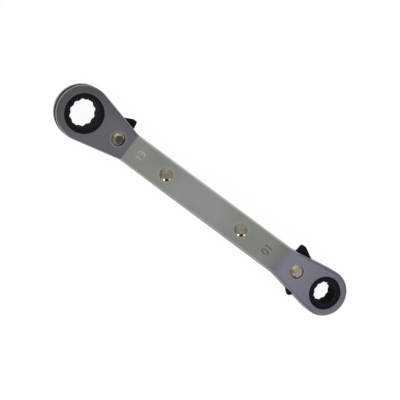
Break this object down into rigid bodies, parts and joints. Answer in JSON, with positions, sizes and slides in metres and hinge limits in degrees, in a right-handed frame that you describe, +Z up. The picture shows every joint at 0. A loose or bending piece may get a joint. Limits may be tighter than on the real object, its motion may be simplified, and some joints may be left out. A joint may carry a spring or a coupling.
{
  "type": "ratcheting wrench",
  "caption": "Offset reversible ratcheting box wrench: riveted laminated handle bent at both ends, with a ratchet ring and a thumb-lever pawl in each head.",
  "frame": {"origin": "middle of the wrench's footprint, on the table it lies on", "axes": "+X along the handle towards the small head, +Y across the handle, +Z up from the table"},
  "size_m": [0.1734, 0.0274, 0.0239],
  "materials": {
    "plate_steel": "satin nickel plate",
    "core_steel": "plain steel",
    "black_oxide": "black oxide",
    "rivet_steel": "bright rivet steel",
    "bright_steel": "hardened bright steel"
  },
  "bodies": {
    "handle": {"front_side_plate": "plate_steel", "back_side_plate": "plate_steel", "handle_core": "core_steel", "big_handle_rivet": "rivet_steel", "small_handle_rivet": "rivet_steel", "big_pawl_rivet": "rivet_steel", "big_pawl_sleeve": "bright_steel", "big_detent_spring": "bright_steel", "small_pawl_rivet": "rivet_steel", "small_pawl_sleeve": "bright_steel", "small_detent_spring": "bright_steel"},
    "big_gear": {"big_ratchet_gear": "black_oxide"},
    "big_pawl": {"big_reversing_pawl": "black_oxide"},
    "big_ball": {"big_detent_ball": "bright_steel"},
    "small_gear": {"small_ratchet_gear": "black_oxide"},
    "small_pawl": {"small_reversing_pawl": "black_oxide"},
    "small_ball": {"small_detent_ball": "bright_steel"}
  },
  "joints": [
    {"name": "big_gear_spin", "type": "hinge", "parent": "handle", "child": "big_gear", "pos_m": [-0.07229, 0, 0.01463], "axis": [0.3075, 0, 0.9515], "continuous": true},
    {"name": "big_pawl_throw", "type": "hinge", "parent": "handle", "child": "big_pawl", "pos_m": [-0.05221, 0, 0.00814], "axis": [0.3075, 0, 0.9515], "range_deg": [0, 48]},
    {"name": "big_detent_press", "type": "slide", "parent": "handle", "child": "big_ball", "axis": [0.9515, 0, -0.3075], "range_m": [0, 0.00025], "stiffness_N_per_m": 200, "springref_m": -0.0005, "deforming": ["big_detent_spring"]},
    {"name": "small_gear_spin", "type": "hinge", "parent": "handle", "child": "small_gear", "pos_m": [0.07427, 0, 0.00862], "axis": [0.3075, 0, 0.9515], "continuous": true},
    {"name": "small_pawl_throw", "type": "hinge", "parent": "handle", "child": "small_pawl", "pos_m": [0.05617, 0, 0.01447], "axis": [0.3075, 0, 0.9515], "range_deg": [-42, 0]},
    {"name": "small_detent_press", "type": "slide", "parent": "handle", "child": "small_ball", "axis": [-0.9515, 0, 0.3075], "range_m": [0, 0.00025], "stiffness_N_per_m": 200, "springref_m": -0.0005, "deforming": ["small_detent_spring"]}
  ]
}
